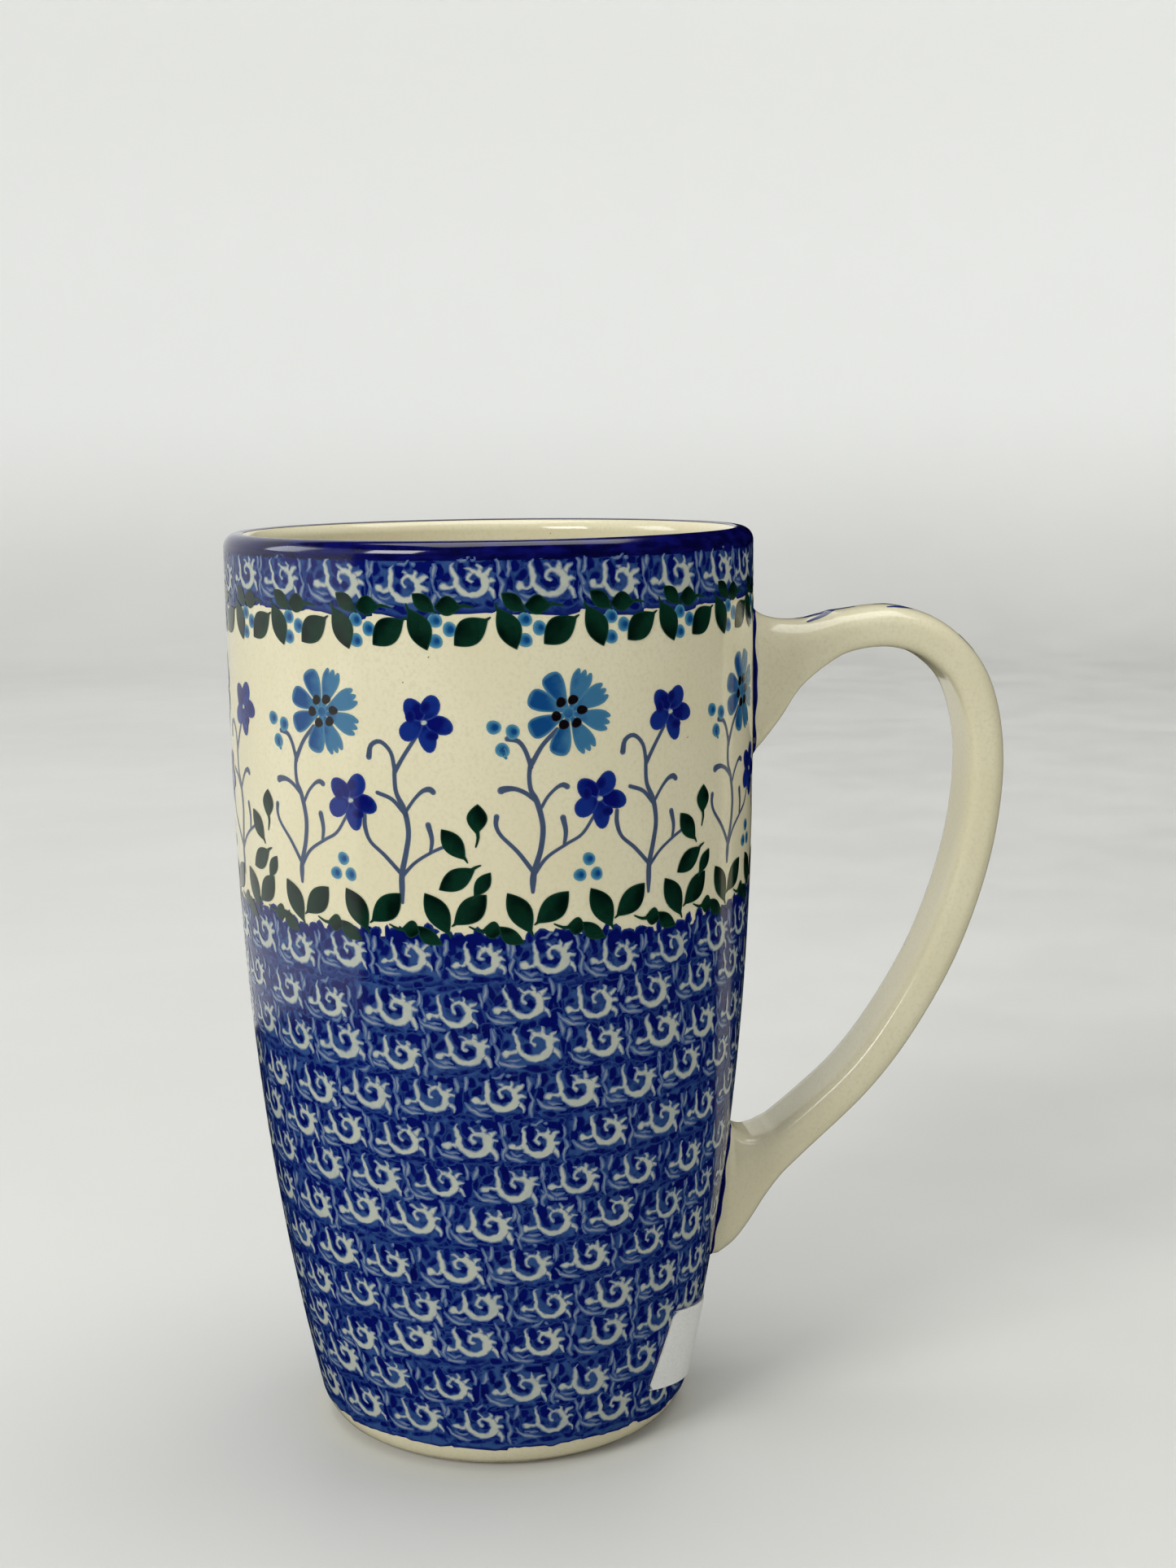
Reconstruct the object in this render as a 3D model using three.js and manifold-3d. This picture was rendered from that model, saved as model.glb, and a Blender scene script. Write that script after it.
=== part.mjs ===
// Tall stoneware mug with a loop handle, in millimetres, +Z up, standing on z = 0.
// The handle points along +X. The cup's axis stands off the origin, so that the
// origin is the middle of the whole mug's footprint box.
import * as THREE from 'three'
import { mergeVertices } from 'three/addons/utils/BufferGeometryUtils.js'
import Module from 'manifold-3d'

const wasm = await Module()
wasm.setup()

// Driving dimensions of the cup
const HEIGHT = 146
const RIM_RADIUS = 42.05
const WALL = 4.2
const FLOOR_TOP = 7.5
const GLAZE = 0.5

// The wall is nearly upright at the top and draws in towards the foot
const TAPER = 12.3
const TAPER_TOP = 122
const TAPER_POWER = 2.3

// The foot turns under in a small quarter round
const FOOT_TURN = 3.2
const FOOT_TURN_HEIGHT = 5
const FOOT_RING_INNER = 22.4
const RECESS_TOP = 2.2
const RECESS_TOP_RADIUS = 20.6
const GLAZE_LINE = 1.25

// The inside turns into the floor in a wide quarter round
const FLOOR_TURN = 9.5
const FLOOR_TURN_HEIGHT = 11

// Handle, as distances from the cup's axis and heights
const HANDLE_LINE = [
  [43.4, 120.6], [50, 125.3], [58, 128.5], [66, 129], [73.6, 126], [79.3, 119], [81.6, 107], [80, 92],
  [75, 76.5], [68, 63.5], [60, 53], [52, 45.6], [44.5, 39.4], [38.6, 34.8],
]
const STRAP_THICKNESS = 6.8
const STRAP_WIDTH = 12.5
const ROOT_FLARE = 8.4
const ROOT_FLARE_SIDE = 1.8
const ROOT_FLARE_LENGTH = 6.3
const STRAP_SQUARENESS = 2.6
const JOINT_THICKNESS = 1.1
const GAP = 0.3

// Paper label, low on the side between the front and the handle
const LABEL_WIDTH = 23
const LABEL_HEIGHT = 13.2
const LABEL_CORNER = 1.6
const LABEL_AZIMUTH = -26.6
const LABEL_MIDDLE = 13
const LABEL_TILT = -13.5
const LABEL_THICKNESS = 0.25
const LABEL_GAP = 0.12

const ROUND_SEGMENTS = 48
const STRAP_STATIONS = 44
const STRAP_SEGMENTS = 20
const LIP_STEPS = 8

// The mug's box runs from the back of the cup to the outside of the handle
const HANDLE_REACH = 81.6 + STRAP_THICKNESS / 2
const AXIS_X = (RIM_RADIUS - HANDLE_REACH) / 2

const paint = {
  stoneware: { color: 0xcfc4ae, roughness: 0.8, metalness: 0 },
  cream: { color: 0xd9d3b8, roughness: 0.18, metalness: 0 },
  decorated: { color: 0x8f9cba, roughness: 0.18, metalness: 0 },
  cobalt: { color: 0x17175c, roughness: 0.15, metalness: 0 },
  paper: { color: 0xe9e8e2, roughness: 0.7, metalness: 0 },
}

// ---- Shape of the wall ----

// How much a quarter round of this size takes off at a height above its start
function turnIn(size, height, above) {
  const left = Math.max(0, 1 - above / height)
  return size * (1 - Math.sqrt(1 - left * left))
}

function wallRadius(z) {
  return RIM_RADIUS - TAPER * Math.max(0, 1 - z / TAPER_TOP) ** TAPER_POWER
}

function outerRadius(z) {
  return wallRadius(z) - turnIn(FOOT_TURN, FOOT_TURN_HEIGHT, z)
}

function innerRadius(z) {
  return wallRadius(z) - WALL - turnIn(FLOOR_TURN, FLOOR_TURN_HEIGHT, z - FLOOR_TOP)
}

const LIP_RADIUS = WALL / 2
const LIP_START = HEIGHT - LIP_RADIUS
const OUTER_HEIGHTS = [GLAZE_LINE, 2.5, 5, 8, 12, 18, 26, 36, 48, 62, 78, 96, 118, LIP_START]
const INNER_HEIGHTS = [FLOOR_TOP, 8, 9.5, 12, 15.5, 19.5, 28, 40, 54, 72, 94, 118, LIP_START]

// Profile points of a wall face, drawn back into the stoneware by inset
function outerPoints(inset) {
  return OUTER_HEIGHTS.map((z) => new THREE.Vector2(outerRadius(z) - inset, z))
}

function innerPoints(inset) {
  const drop = (z) => (z === FLOOR_TOP ? z - inset : z)
  return INNER_HEIGHTS.map((z) => new THREE.Vector2(innerRadius(z) + inset, drop(z)))
}

// The lip's half circle, from the outside over the top to the inside
function lipPoints(radius) {
  const points = []
  for (let i = 0; i <= LIP_STEPS; i++) {
    const turn = (Math.PI * i) / LIP_STEPS
    const r = RIM_RADIUS - LIP_RADIUS + radius * Math.cos(turn)
    points.push(new THREE.Vector2(r, LIP_START + radius * Math.sin(turn)))
  }
  return points
}

// ---- Helpers ----

function lathe(points) {
  const geometry = new THREE.LatheGeometry(points, ROUND_SEGMENTS)
  geometry.rotateX(Math.PI / 2)
  return geometry
}

function toSolid(geometry) {
  const bare = geometry.clone()
  bare.deleteAttribute('normal')
  bare.deleteAttribute('uv')
  const merged = mergeVertices(bare, 1e-5)
  const vertProperties = new Float32Array(merged.attributes.position.array)
  const triVerts = new Uint32Array(merged.index.array)
  return new wasm.Manifold(new wasm.Mesh({ numProp: 3, vertProperties, triVerts }))
}

function toGeometry(solid) {
  const mesh = solid.getMesh()
  const geometry = new THREE.BufferGeometry()
  geometry.setAttribute('position', new THREE.BufferAttribute(new Float32Array(mesh.vertProperties), 3))
  geometry.setIndex(new THREE.BufferAttribute(new Uint32Array(mesh.triVerts), 1))
  geometry.computeVertexNormals()
  return geometry
}

const mug = new THREE.Group()

function addPiece(name, geometry, finish) {
  const mesh = new THREE.Mesh(geometry, new THREE.MeshStandardMaterial(finish))
  mesh.name = name
  mesh.position.x = AXIS_X
  mug.add(mesh)
}

// ---- Cup ----

// Stoneware wall, floor and foot ring in one piece
function cupBody() {
  const underside = [
    new THREE.Vector2(0, RECESS_TOP + GLAZE),
    new THREE.Vector2(RECESS_TOP_RADIUS, RECESS_TOP + GLAZE),
    new THREE.Vector2(FOOT_RING_INNER, 0),
    new THREE.Vector2(outerRadius(0) - GLAZE, 0),
  ]
  const inside = innerPoints(GLAZE)
  const lip = lipPoints(LIP_RADIUS - GLAZE)
  const outside = outerPoints(GLAZE)
  outside.pop()
  inside.pop()
  const floor = new THREE.Vector2(0, FLOOR_TOP - GLAZE)
  return lathe([...underside, ...outside, ...lip, ...inside.reverse(), floor])
}

// Glaze over the outside wall, from just above the foot to the lip
function outerGlaze() {
  const skin = outerPoints(0)
  const backing = outerPoints(GLAZE).reverse()
  return lathe([...skin, ...backing, skin[0]])
}

function innerGlaze() {
  const skin = innerPoints(0).reverse()
  const backing = innerPoints(GLAZE)
  const floor = [new THREE.Vector2(0, FLOOR_TOP), new THREE.Vector2(0, FLOOR_TOP - GLAZE)]
  return lathe([floor[1], ...backing, ...skin, floor[0]])
}

function rimGlazeBand() {
  const skin = lipPoints(LIP_RADIUS)
  const backing = lipPoints(LIP_RADIUS - GLAZE).reverse()
  return lathe([...skin, ...backing, skin[0]])
}

// Glaze disc in the recess inside the foot ring
function undersideGlaze() {
  const edge = RECESS_TOP_RADIUS - GAP
  return lathe([
    new THREE.Vector2(0, RECESS_TOP),
    new THREE.Vector2(edge, RECESS_TOP),
    new THREE.Vector2(edge, RECESS_TOP + GLAZE),
    new THREE.Vector2(0, RECESS_TOP + GLAZE),
  ])
}

// ---- Handle ----

const handleLine = new THREE.CatmullRomCurve3(
  HANDLE_LINE.map(([r, z]) => new THREE.Vector3(r, 0, z)),
  false,
  'centripetal',
)
const handleLength = handleLine.getLength()

// The strap swells into a root at each end
function flareAt(along) {
  const fromEnd = Math.min(along, 1 - along) * handleLength
  return Math.exp(-((fromEnd / ROOT_FLARE_LENGTH) ** 2))
}

// One section of the strap: a squared oval, drawn in by inset
function strapRing(along, inset) {
  const middle = handleLine.getPointAt(along)
  const tangent = handleLine.getTangentAt(along)
  const flare = flareAt(along)
  const lean = 1 - flare
  const rise = tangent.x * lean + Math.sign(tangent.x) * flare
  const across = new THREE.Vector3(-tangent.z * lean, 0, rise).normalize()
  const halfThickness = STRAP_THICKNESS / 2 + ROOT_FLARE * flare - inset
  const halfWidth = STRAP_WIDTH / 2 + ROOT_FLARE_SIDE * flare - inset
  const ring = []
  for (let i = 0; i < STRAP_SEGMENTS; i++) {
    const turn = (-2 * Math.PI * i) / STRAP_SEGMENTS
    const power = 2 / STRAP_SQUARENESS
    const c = Math.sign(Math.cos(turn)) * Math.abs(Math.cos(turn)) ** power
    const s = Math.sign(Math.sin(turn)) * Math.abs(Math.sin(turn)) ** power
    const point = middle.clone().addScaledVector(across, halfThickness * c)
    point.y += halfWidth * s
    ring.push(point)
  }
  return ring
}

// Moves a ring radially onto the cup's wall, this far off the stoneware
function ontoWall(ring, off) {
  return ring.map((p) => {
    const radius = outerRadius(p.z) - GLAZE + off
    return new THREE.Vector3(Math.sqrt(radius * radius - p.y * p.y), p.y, p.z)
  })
}

function strapRings(inset) {
  const rings = []
  for (let i = 0; i <= STRAP_STATIONS; i++) {
    rings.push(strapRing(i / STRAP_STATIONS, inset))
  }
  const off = GAP + JOINT_THICKNESS + GAP
  rings[0] = ontoWall(rings[0], off)
  rings[STRAP_STATIONS] = ontoWall(rings[STRAP_STATIONS], off)
  return rings
}

// Closed solid through a row of rings, each end closed by a fan
function solidThrough(rings) {
  const count = rings[0].length
  const points = rings.flat()
  const index = skinFaces(0, rings.length, count, false)
  for (const end of [0, rings.length - 1]) {
    const side = rings[end][count / 4]
    const hub = points.length
    points.push(new THREE.Vector3(Math.hypot(side.x, side.y), 0, side.z))
    for (let i = 0; i < count; i++) {
      const a = end * count + i
      const b = end * count + ((i + 1) % count)
      index.push(...(end === 0 ? [hub, b, a] : [hub, a, b]))
    }
  }
  return geometryFrom(points, index)
}

// Tube wall between an outer and an inner row of rings
function shellBetween(outer, inner) {
  const count = outer[0].length
  const points = [...outer.flat(), ...inner.flat()]
  const start = outer.length * count
  const index = [...skinFaces(0, outer.length, count, false), ...skinFaces(start, inner.length, count, true)]
  for (const end of [0, outer.length - 1]) {
    for (let i = 0; i < count; i++) {
      const next = (i + 1) % count
      const [a, b] = [end * count + i, end * count + next]
      const [c, d] = [start + a, start + b]
      index.push(...(end === 0 ? [a, c, b, b, c, d] : [a, b, c, b, d, c]))
    }
  }
  return geometryFrom(points, index)
}

function skinFaces(start, ringCount, count, flipped) {
  const index = []
  for (let r = 0; r < ringCount - 1; r++) {
    for (let i = 0; i < count; i++) {
      const next = (i + 1) % count
      const [a, b] = [start + r * count + i, start + r * count + next]
      const [c, d] = [a + count, b + count]
      index.push(...(flipped ? [a, c, b, b, c, d] : [a, b, c, b, d, c]))
    }
  }
  return index
}

function geometryFrom(points, index) {
  const geometry = new THREE.BufferGeometry().setFromPoints(points)
  geometry.setIndex(index)
  geometry.computeVertexNormals()
  return geometry
}

// Pad of slip between the stoneware wall and a root; grow widens it for cutting
function rootPad(along, from, to, grow) {
  const ring = strapRing(along, -grow)
  const rings = [ontoWall(ring, from), ontoWall(ring, to)]
  return solidThrough(along === 0 ? rings : rings.reverse())
}

function slipJoint(along) {
  return rootPad(along, GAP, GAP + JOINT_THICKNESS, 0)
}

function outerGlazeOpenAtRoots() {
  let coat = toSolid(outerGlaze())
  for (const along of [0, 1]) {
    coat = coat.subtract(toSolid(rootPad(along, -1, 3, GAP)))
  }
  return toGeometry(coat)
}

// ---- Label ----

function labelOutline() {
  const [w, h, c] = [LABEL_WIDTH / 2, LABEL_HEIGHT / 2, LABEL_CORNER]
  const shape = new THREE.Shape()
  shape.moveTo(w - c, -h)
  shape.absarc(w - c, -h + c, c, -Math.PI / 2, 0)
  shape.absarc(w - c, h - c, c, 0, Math.PI / 2)
  shape.absarc(-w + c, h - c, c, Math.PI / 2, Math.PI)
  shape.absarc(-w + c, -h + c, c, Math.PI, 1.5 * Math.PI)
  return shape
}

function paperLabel() {
  const faceAt = (off) => outerPoints(-off).slice(0, 8)
  const skin = faceAt(LABEL_GAP + LABEL_THICKNESS)
  const back = faceAt(LABEL_GAP).reverse()
  const ring = toSolid(lathe([...skin, ...back, skin[0]]))
  const cutter = new THREE.ExtrudeGeometry(labelOutline(), { depth: RIM_RADIUS, bevelEnabled: false, curveSegments: 3 })
  cutter.rotateZ(THREE.MathUtils.degToRad(LABEL_TILT))
  cutter.rotateX(Math.PI / 2)
  cutter.rotateZ(Math.PI / 2)
  cutter.translate(0, 0, LABEL_MIDDLE)
  cutter.rotateZ(THREE.MathUtils.degToRad(LABEL_AZIMUTH))
  return toGeometry(ring.intersect(toSolid(cutter)))
}

addPiece('cup_body', cupBody(), paint.stoneware)
addPiece('outer_glaze', outerGlazeOpenAtRoots(), paint.decorated)
addPiece('inner_glaze', innerGlaze(), paint.cream)
addPiece('rim_glaze_band', rimGlazeBand(), paint.cobalt)
addPiece('underside_glaze', undersideGlaze(), paint.cream)
addPiece('handle_strap', solidThrough(strapRings(GLAZE)), paint.stoneware)
addPiece('handle_glaze', shellBetween(strapRings(0), strapRings(GLAZE)), paint.cream)
addPiece('upper_slip_joint', slipJoint(0), paint.stoneware)
addPiece('lower_slip_joint', slipJoint(1), paint.stoneware)
addPiece('paper_label', paperLabel(), paint.paper)

export default mug
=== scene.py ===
"""Looks of the stamped stoneware mug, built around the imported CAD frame.

Sizes below are in millimetres and cup coordinates (x and y from the cup's axis) until a
mesh is made. The painted decoration is thin sheets of colour that lie on the glazed wall.
"""
import math

import bpy
import numpy as np
from mathutils import Matrix, Vector
from mathutils.geometry import delaunay_2d_cdt


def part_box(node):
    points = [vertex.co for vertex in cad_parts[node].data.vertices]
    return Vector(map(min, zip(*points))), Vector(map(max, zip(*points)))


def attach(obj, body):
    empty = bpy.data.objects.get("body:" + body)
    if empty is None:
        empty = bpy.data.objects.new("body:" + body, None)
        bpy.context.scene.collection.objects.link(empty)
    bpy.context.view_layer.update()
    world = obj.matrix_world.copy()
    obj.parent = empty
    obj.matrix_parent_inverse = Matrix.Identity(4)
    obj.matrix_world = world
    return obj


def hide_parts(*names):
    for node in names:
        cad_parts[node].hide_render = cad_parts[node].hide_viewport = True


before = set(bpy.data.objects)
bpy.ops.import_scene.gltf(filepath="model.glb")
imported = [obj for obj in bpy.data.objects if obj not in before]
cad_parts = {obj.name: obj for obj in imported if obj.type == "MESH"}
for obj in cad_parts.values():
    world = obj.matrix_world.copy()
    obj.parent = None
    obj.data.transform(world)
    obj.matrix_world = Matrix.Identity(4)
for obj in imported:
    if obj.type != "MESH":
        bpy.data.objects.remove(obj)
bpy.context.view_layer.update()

MM = 0.001
rng = np.random.default_rng(7)

# ---- Sizes read from the frame ----

wall_low, wall_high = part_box("outer_glaze")
recess_low, recess_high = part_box("underside_glaze")
label_low, label_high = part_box("paper_label")

AXIS_X = (wall_low.x + wall_high.x) / 2 / MM
RIM_RADIUS = (wall_high.x - wall_low.x) / 2 / MM
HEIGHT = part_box("rim_glaze_band")[1].z / MM
LIP_START = wall_high.z / MM
GLAZE_LINE = wall_low.z / MM
LIP_RADIUS = HEIGHT - LIP_START
WALL = 2 * LIP_RADIUS
GLAZE = 0.5
FLOOR_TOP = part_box("inner_glaze")[0].z / MM + GLAZE
RECESS_TOP = recess_low.z / MM
RECESS_EDGE = (recess_high.x - recess_low.x) / 2 / MM
LABEL_MIDDLE = (label_low.z + label_high.z) / 2 / MM

# ---- The same wall formulas as the CAD part ----

TAPER = 12.3
TAPER_TOP = 122.0
TAPER_POWER = 2.3
FOOT_TURN = 3.2
FOOT_TURN_HEIGHT = 5.0
FOOT_RING_INNER = 22.4
FLOOR_TURN = 9.5
FLOOR_TURN_HEIGHT = 11.0

# The cobalt band: how far below the lip it starts, the angle over the lip where it ends, and
# how far its glaze stands out
RIM_BAND_DROP = 0.7
RIM_BAND_END = 112.0
RIM_BAND_PROUD = 0.08

# Handle centreline as (distance from the cup's axis, height)
HANDLE_LINE = [
    (43.4, 120.6), (50, 125.3), (58, 128.5), (66, 129), (73.6, 126), (79.3, 119), (81.6, 107),
    (80, 92), (75, 76.5), (68, 63.5), (60, 53), (52, 45.6), (44.5, 39.4), (38.6, 34.8),
]
STRAP_THICKNESS = 6.8
STRAP_WIDTH = 12.5

LABEL_WIDTH = 23.0
LABEL_HEIGHT = 13.2
LABEL_CORNER = 1.6
LABEL_THICKNESS = 0.25
LABEL_GAP = 0.12
LABEL_TILT = -13.5

# Angle round the cup that faces the camera; decoration angles count rightwards from it
FRONT = -95.0
HANDLE_ANGLE = 95.0
LABEL_ANGLE = HANDLE_ANGLE - 26.6

ROUND = 256


def turn_in(size, height, above):
    left = np.clip(1 - above / height, 0, 1)
    return size * (1 - np.sqrt(1 - left * left))


def wall_radius(z):
    return RIM_RADIUS - TAPER * np.clip(1 - z / TAPER_TOP, 0, None) ** TAPER_POWER


def outer_radius(z):
    return wall_radius(z) - turn_in(FOOT_TURN, FOOT_TURN_HEIGHT, z)


def inner_radius(z):
    return wall_radius(z) - WALL - turn_in(FLOOR_TURN, FLOOR_TURN_HEIGHT, z - FLOOR_TOP)


# Distance along the wall's outline for each height, from the foot up
TABLE_ROWS = 3000
HEIGHT_TABLE = np.linspace(0.0, LIP_START, TABLE_ROWS)
RADIUS_TABLE = outer_radius(HEIGHT_TABLE)
ALONG_TABLE = np.concatenate(
    [[0.0], np.cumsum(np.hypot(np.diff(RADIUS_TABLE), np.diff(HEIGHT_TABLE)))]
)
SLOPE_TABLE = np.gradient(RADIUS_TABLE, HEIGHT_TABLE)


def along_at(z):
    return float(np.interp(z, HEIGHT_TABLE, ALONG_TABLE))


# ---- Meshes ----


def facing_out(points, faces):
    """The faces of a closed mesh, turned round if they face inwards."""
    points = np.asarray(points, float)
    volume = 0.0
    for face in faces:
        for j, k in zip(face[1:-1], face[2:]):
            volume += points[face[0]] @ np.cross(points[j], points[k])
    return faces if volume > 0 else [list(face)[::-1] for face in faces]


def new_mesh(name, points, faces, material):
    """A smooth mesh object from points in cup millimetres."""
    mesh = bpy.data.meshes.new(name)
    places = (np.asarray(points, float) + (AXIS_X, 0, 0)) * MM
    mesh.from_pydata(places.tolist(), [], [list(map(int, face)) for face in faces])
    mesh.materials.append(material)
    mesh.shade_smooth()
    made = bpy.data.objects.new(name, mesh)
    bpy.context.scene.collection.objects.link(made)
    return made


def make_piece(name, points, faces, look, stands_for=(), sharp=35):
    """A shown piece. It rides on the part's one body."""
    piece = new_mesh(name, points, faces, materials[look])
    if sharp:
        piece.data.set_sharp_from_angle(angle=math.radians(sharp))
    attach(piece, "root")
    if stands_for:
        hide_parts(*stands_for)
    return piece


def lathe(profile, segments=ROUND):
    """Points and faces of a closed profile turned round the cup's axis."""
    points, rings, faces = [], [], []
    for r, z in profile:
        count = segments if r else 1
        rings.append([len(points) + i % count for i in range(segments)])
        for i in range(count):
            turn = 2 * math.pi * i / segments
            points.append((r * math.cos(turn), r * math.sin(turn), z))
    for low, high in zip(rings, rings[1:] + rings[:1]):
        for i in range(segments):
            j = (i + 1) % segments
            corners = list(dict.fromkeys((low[i], low[j], high[j], high[i])))
            if len(corners) > 2:
                faces.append(corners)
    return points, faces


def spread(low, high, count, power=1.0):
    return low + (high - low) * np.linspace(0, 1, count) ** power


def lip_arc(radius, steps=18, start=0.0, end=180.0):
    """Points over the rounded lip, by angle from its outer side to its inner side."""
    turns = np.radians(np.linspace(start, end, steps))
    middle = RIM_RADIUS - LIP_RADIUS
    return [(middle + radius * math.cos(t), LIP_START + radius * math.sin(t)) for t in turns]


# ---- Materials ----


def srgb(red, green, blue):
    """A linear colour from screen values of 0 to 255."""
    values = [c / 255 for c in (red, green, blue)]
    linear = [c / 12.92 if c <= 0.04045 else ((c + 0.055) / 1.055) ** 2.4 for c in values]
    return (*linear, 1.0)


class Finish:
    """A node material that is put together a step at a time."""

    def __init__(self, name, roughness, specular=0.5):
        self.material = bpy.data.materials.new(name)
        self.material.use_nodes = True
        self.nodes = self.material.node_tree.nodes
        self.links = self.material.node_tree.links
        self.shader = self.nodes["Principled BSDF"]
        self.shader.inputs["Roughness"].default_value = roughness
        self.shader.inputs["Specular IOR Level"].default_value = specular
        self.place = self.nodes.new("ShaderNodeTexCoord").outputs["Object"]

    def node(self, kind, inputs=(), **settings):
        """A new node; each of its inputs takes a value or another node's output."""
        made = self.nodes.new("ShaderNode" + kind)
        for key, value in settings.items():
            setattr(made, key, value)
        for key, value in dict(inputs).items():
            if isinstance(value, bpy.types.NodeSocket):
                self.links.new(value, made.inputs[key])
            else:
                made.inputs[key].default_value = value
        return made

    def noise(self, size_mm, detail=3.0, stretch=None):
        place = self.place
        if stretch:
            place = self.node("Mapping", {"Vector": place, "Scale": stretch}).outputs["Vector"]
        inputs = {"Vector": place, "Scale": 1000.0 / size_mm, "Detail": detail}
        return self.node("TexNoise", inputs).outputs["Fac"]

    def spots(self, cell_mm, radius):
        """One in dots: near a Voronoi cell's middle, 0 elsewhere."""
        cells = self.node("TexVoronoi", {"Vector": self.place, "Scale": 1000.0 / cell_mm})
        return self.between(cells.outputs["Distance"], radius, radius * 0.4)

    def between(self, value, low, high, out_low=0.0, out_high=1.0):
        inputs = {"Value": value, "From Min": low, "From Max": high}
        inputs.update({"To Min": out_low, "To Max": out_high})
        return self.node("MapRange", inputs, interpolation_type="SMOOTHSTEP").outputs["Result"]

    def height(self):
        return self.node("SeparateXYZ", {"Vector": self.place}).outputs["Z"]

    def maths(self, kind, first, second):
        return self.node("Math", {0: first, 1: second}, operation=kind).outputs["Value"]

    def painted(self, name):
        return self.node("Attribute", attribute_name=name).outputs["Fac"]

    def mix(self, share, first, second):
        inputs = {"Factor": share, 6: first, 7: second}
        return self.node("Mix", inputs, data_type="RGBA").outputs[2]

    def colour(self, source):
        self.links.new(source, self.shader.inputs["Base Color"])

    def gloss(self, size_mm, low, high):
        uneven = self.between(self.noise(size_mm), 0.3, 0.7, low, high)
        self.links.new(uneven, self.shader.inputs["Roughness"])

    def relief(self, height, depth_mm):
        bump = self.node("Bump", {"Height": height, "Distance": depth_mm * MM})
        self.links.new(bump.outputs["Normal"], self.shader.inputs["Normal"])


def clear_glaze_over(finish):
    """The gloss that all the glazed and underglaze-painted surfaces share."""
    finish.gloss(9.0, 0.09, 0.16)
    finish.relief(finish.noise(7.0, 1.0), 0.010)


def cream_glaze():
    finish = Finish("cream_glaze", 0.12)
    cloudy = finish.between(finish.noise(22.0, 4.0), 0.3, 0.7)
    body = finish.mix(cloudy, srgb(223, 215, 183), srgb(227, 221, 192))
    grain = finish.between(finish.noise(0.55, 2.0), 0.4, 0.85)
    body = finish.mix(grain, body, srgb(217, 209, 178))
    rare = finish.between(finish.noise(6.0, 1.0), 0.62, 0.66)
    specks = finish.maths("MULTIPLY", finish.spots(2.3, 0.07), rare)
    finish.colour(finish.mix(specks, body, srgb(120, 96, 70)))
    clear_glaze_over(finish)
    return finish.material


def rim_glaze():
    finish = Finish("rim_glaze", 0.1)
    pooled = finish.between(finish.noise(3.0, 3.0, (1, 1, 3)), 0.35, 0.7)
    finish.colour(finish.mix(pooled, srgb(4, 4, 54), srgb(12, 14, 92)))
    clear_glaze_over(finish)
    return finish.material


def stoneware():
    finish = Finish("stoneware", 0.8, 0.3)
    sandy = finish.between(finish.noise(0.5, 5.0), 0.3, 0.7)
    body = finish.mix(sandy, srgb(196, 184, 160), srgb(222, 212, 190))
    finish.colour(finish.mix(finish.spots(1.4, 0.12), body, srgb(140, 118, 92)))
    finish.gloss(1.5, 0.7, 0.9)
    finish.relief(finish.noise(0.35, 3.0), 0.04)
    return finish.material


def paper():
    finish = Finish("label_paper", 0.6, 0.35)
    fibre = finish.between(finish.noise(0.6, 4.0, (1, 1, 2)), 0.3, 0.7)
    finish.colour(finish.mix(fibre, srgb(232, 232, 228), srgb(243, 243, 240)))
    finish.gloss(2.0, 0.45, 0.6)
    finish.relief(finish.noise(0.25, 3.0), 0.01)
    return finish.material


def paint(name, edge, core, deep, mottle_mm, soft, deep_at):
    """Underglaze paint: its rim colour, its body, and the deeper tone where the paint pooled."""
    edge, core, deep = (srgb(*colour) for colour in (edge, core, deep))
    finish = Finish(name, 0.12)
    pools = finish.maths("ADD", finish.painted("tone"), finish.noise(mottle_mm, 3.0))
    pools = finish.between(pools, 0.5 + deep_at[0], 0.5 + deep_at[1])
    body = finish.mix(pools, core, deep)
    inwards = finish.between(finish.painted("edge"), 0.0, soft)
    finish.colour(finish.mix(inwards, edge, body))
    clear_glaze_over(finish)
    return finish.material


# For each paint: rim, body and pooled colours, mottle size, soft share, and where pools set in
PAINTS = {
    "stamp_wash": ((14, 30, 102), (46, 76, 130), (10, 26, 98), 1.3, 0.9, (0.0, 0.4)),
    "stamp_pools": ((36, 64, 122), (4, 14, 94), (1, 3, 74), 1.6, 0.85, (0.1, 0.7)),
    "stamp_scrolls": ((50, 80, 136), (182, 187, 174), (160, 168, 166), 1.4, 0.85, (0.0, 0.7)),
    "leaf_green": ((22, 60, 46), (9, 46, 32), (2, 18, 13), 2.0, 0.7, (0.1, 0.9)),
    "petal_blue": ((72, 124, 154), (56, 110, 148), (9, 68, 126), 2.0, 0.8, (0.1, 0.8)),
    "berry_blue": ((90, 146, 168), (44, 106, 146), (8, 64, 126), 2.0, 0.9, (0.1, 0.8)),
    "small_flower_cobalt": ((38, 62, 134), (16, 42, 124), (5, 12, 98), 1.8, 0.8, (0.0, 0.55)),
    "small_flower_overlap": ((14, 32, 112), (5, 12, 92), (3, 6, 78), 1.4, 0.9, (0.0, 0.5)),
    "stem_slate": ((108, 120, 142), (68, 82, 108), (48, 60, 88), 1.6, 0.7, (0.0, 0.5)),
    "dot_black": ((36, 32, 40), (14, 10, 14), (7, 5, 7), 0.8, 0.7, (0.0, 0.5)),
    "root_line": ((40, 54, 120), (6, 12, 96), (2, 4, 66), 1.8, 0.8, (0.0, 0.6)),
    "spine_stroke": ((96, 112, 156), (44, 62, 128), (18, 30, 104), 1.8, 0.9, (0.0, 0.6)),
}
materials = {
    "stoneware": stoneware(), "cream_glaze": cream_glaze(), "rim_glaze": rim_glaze(),
    "label_paper": paper(),
}
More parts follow.
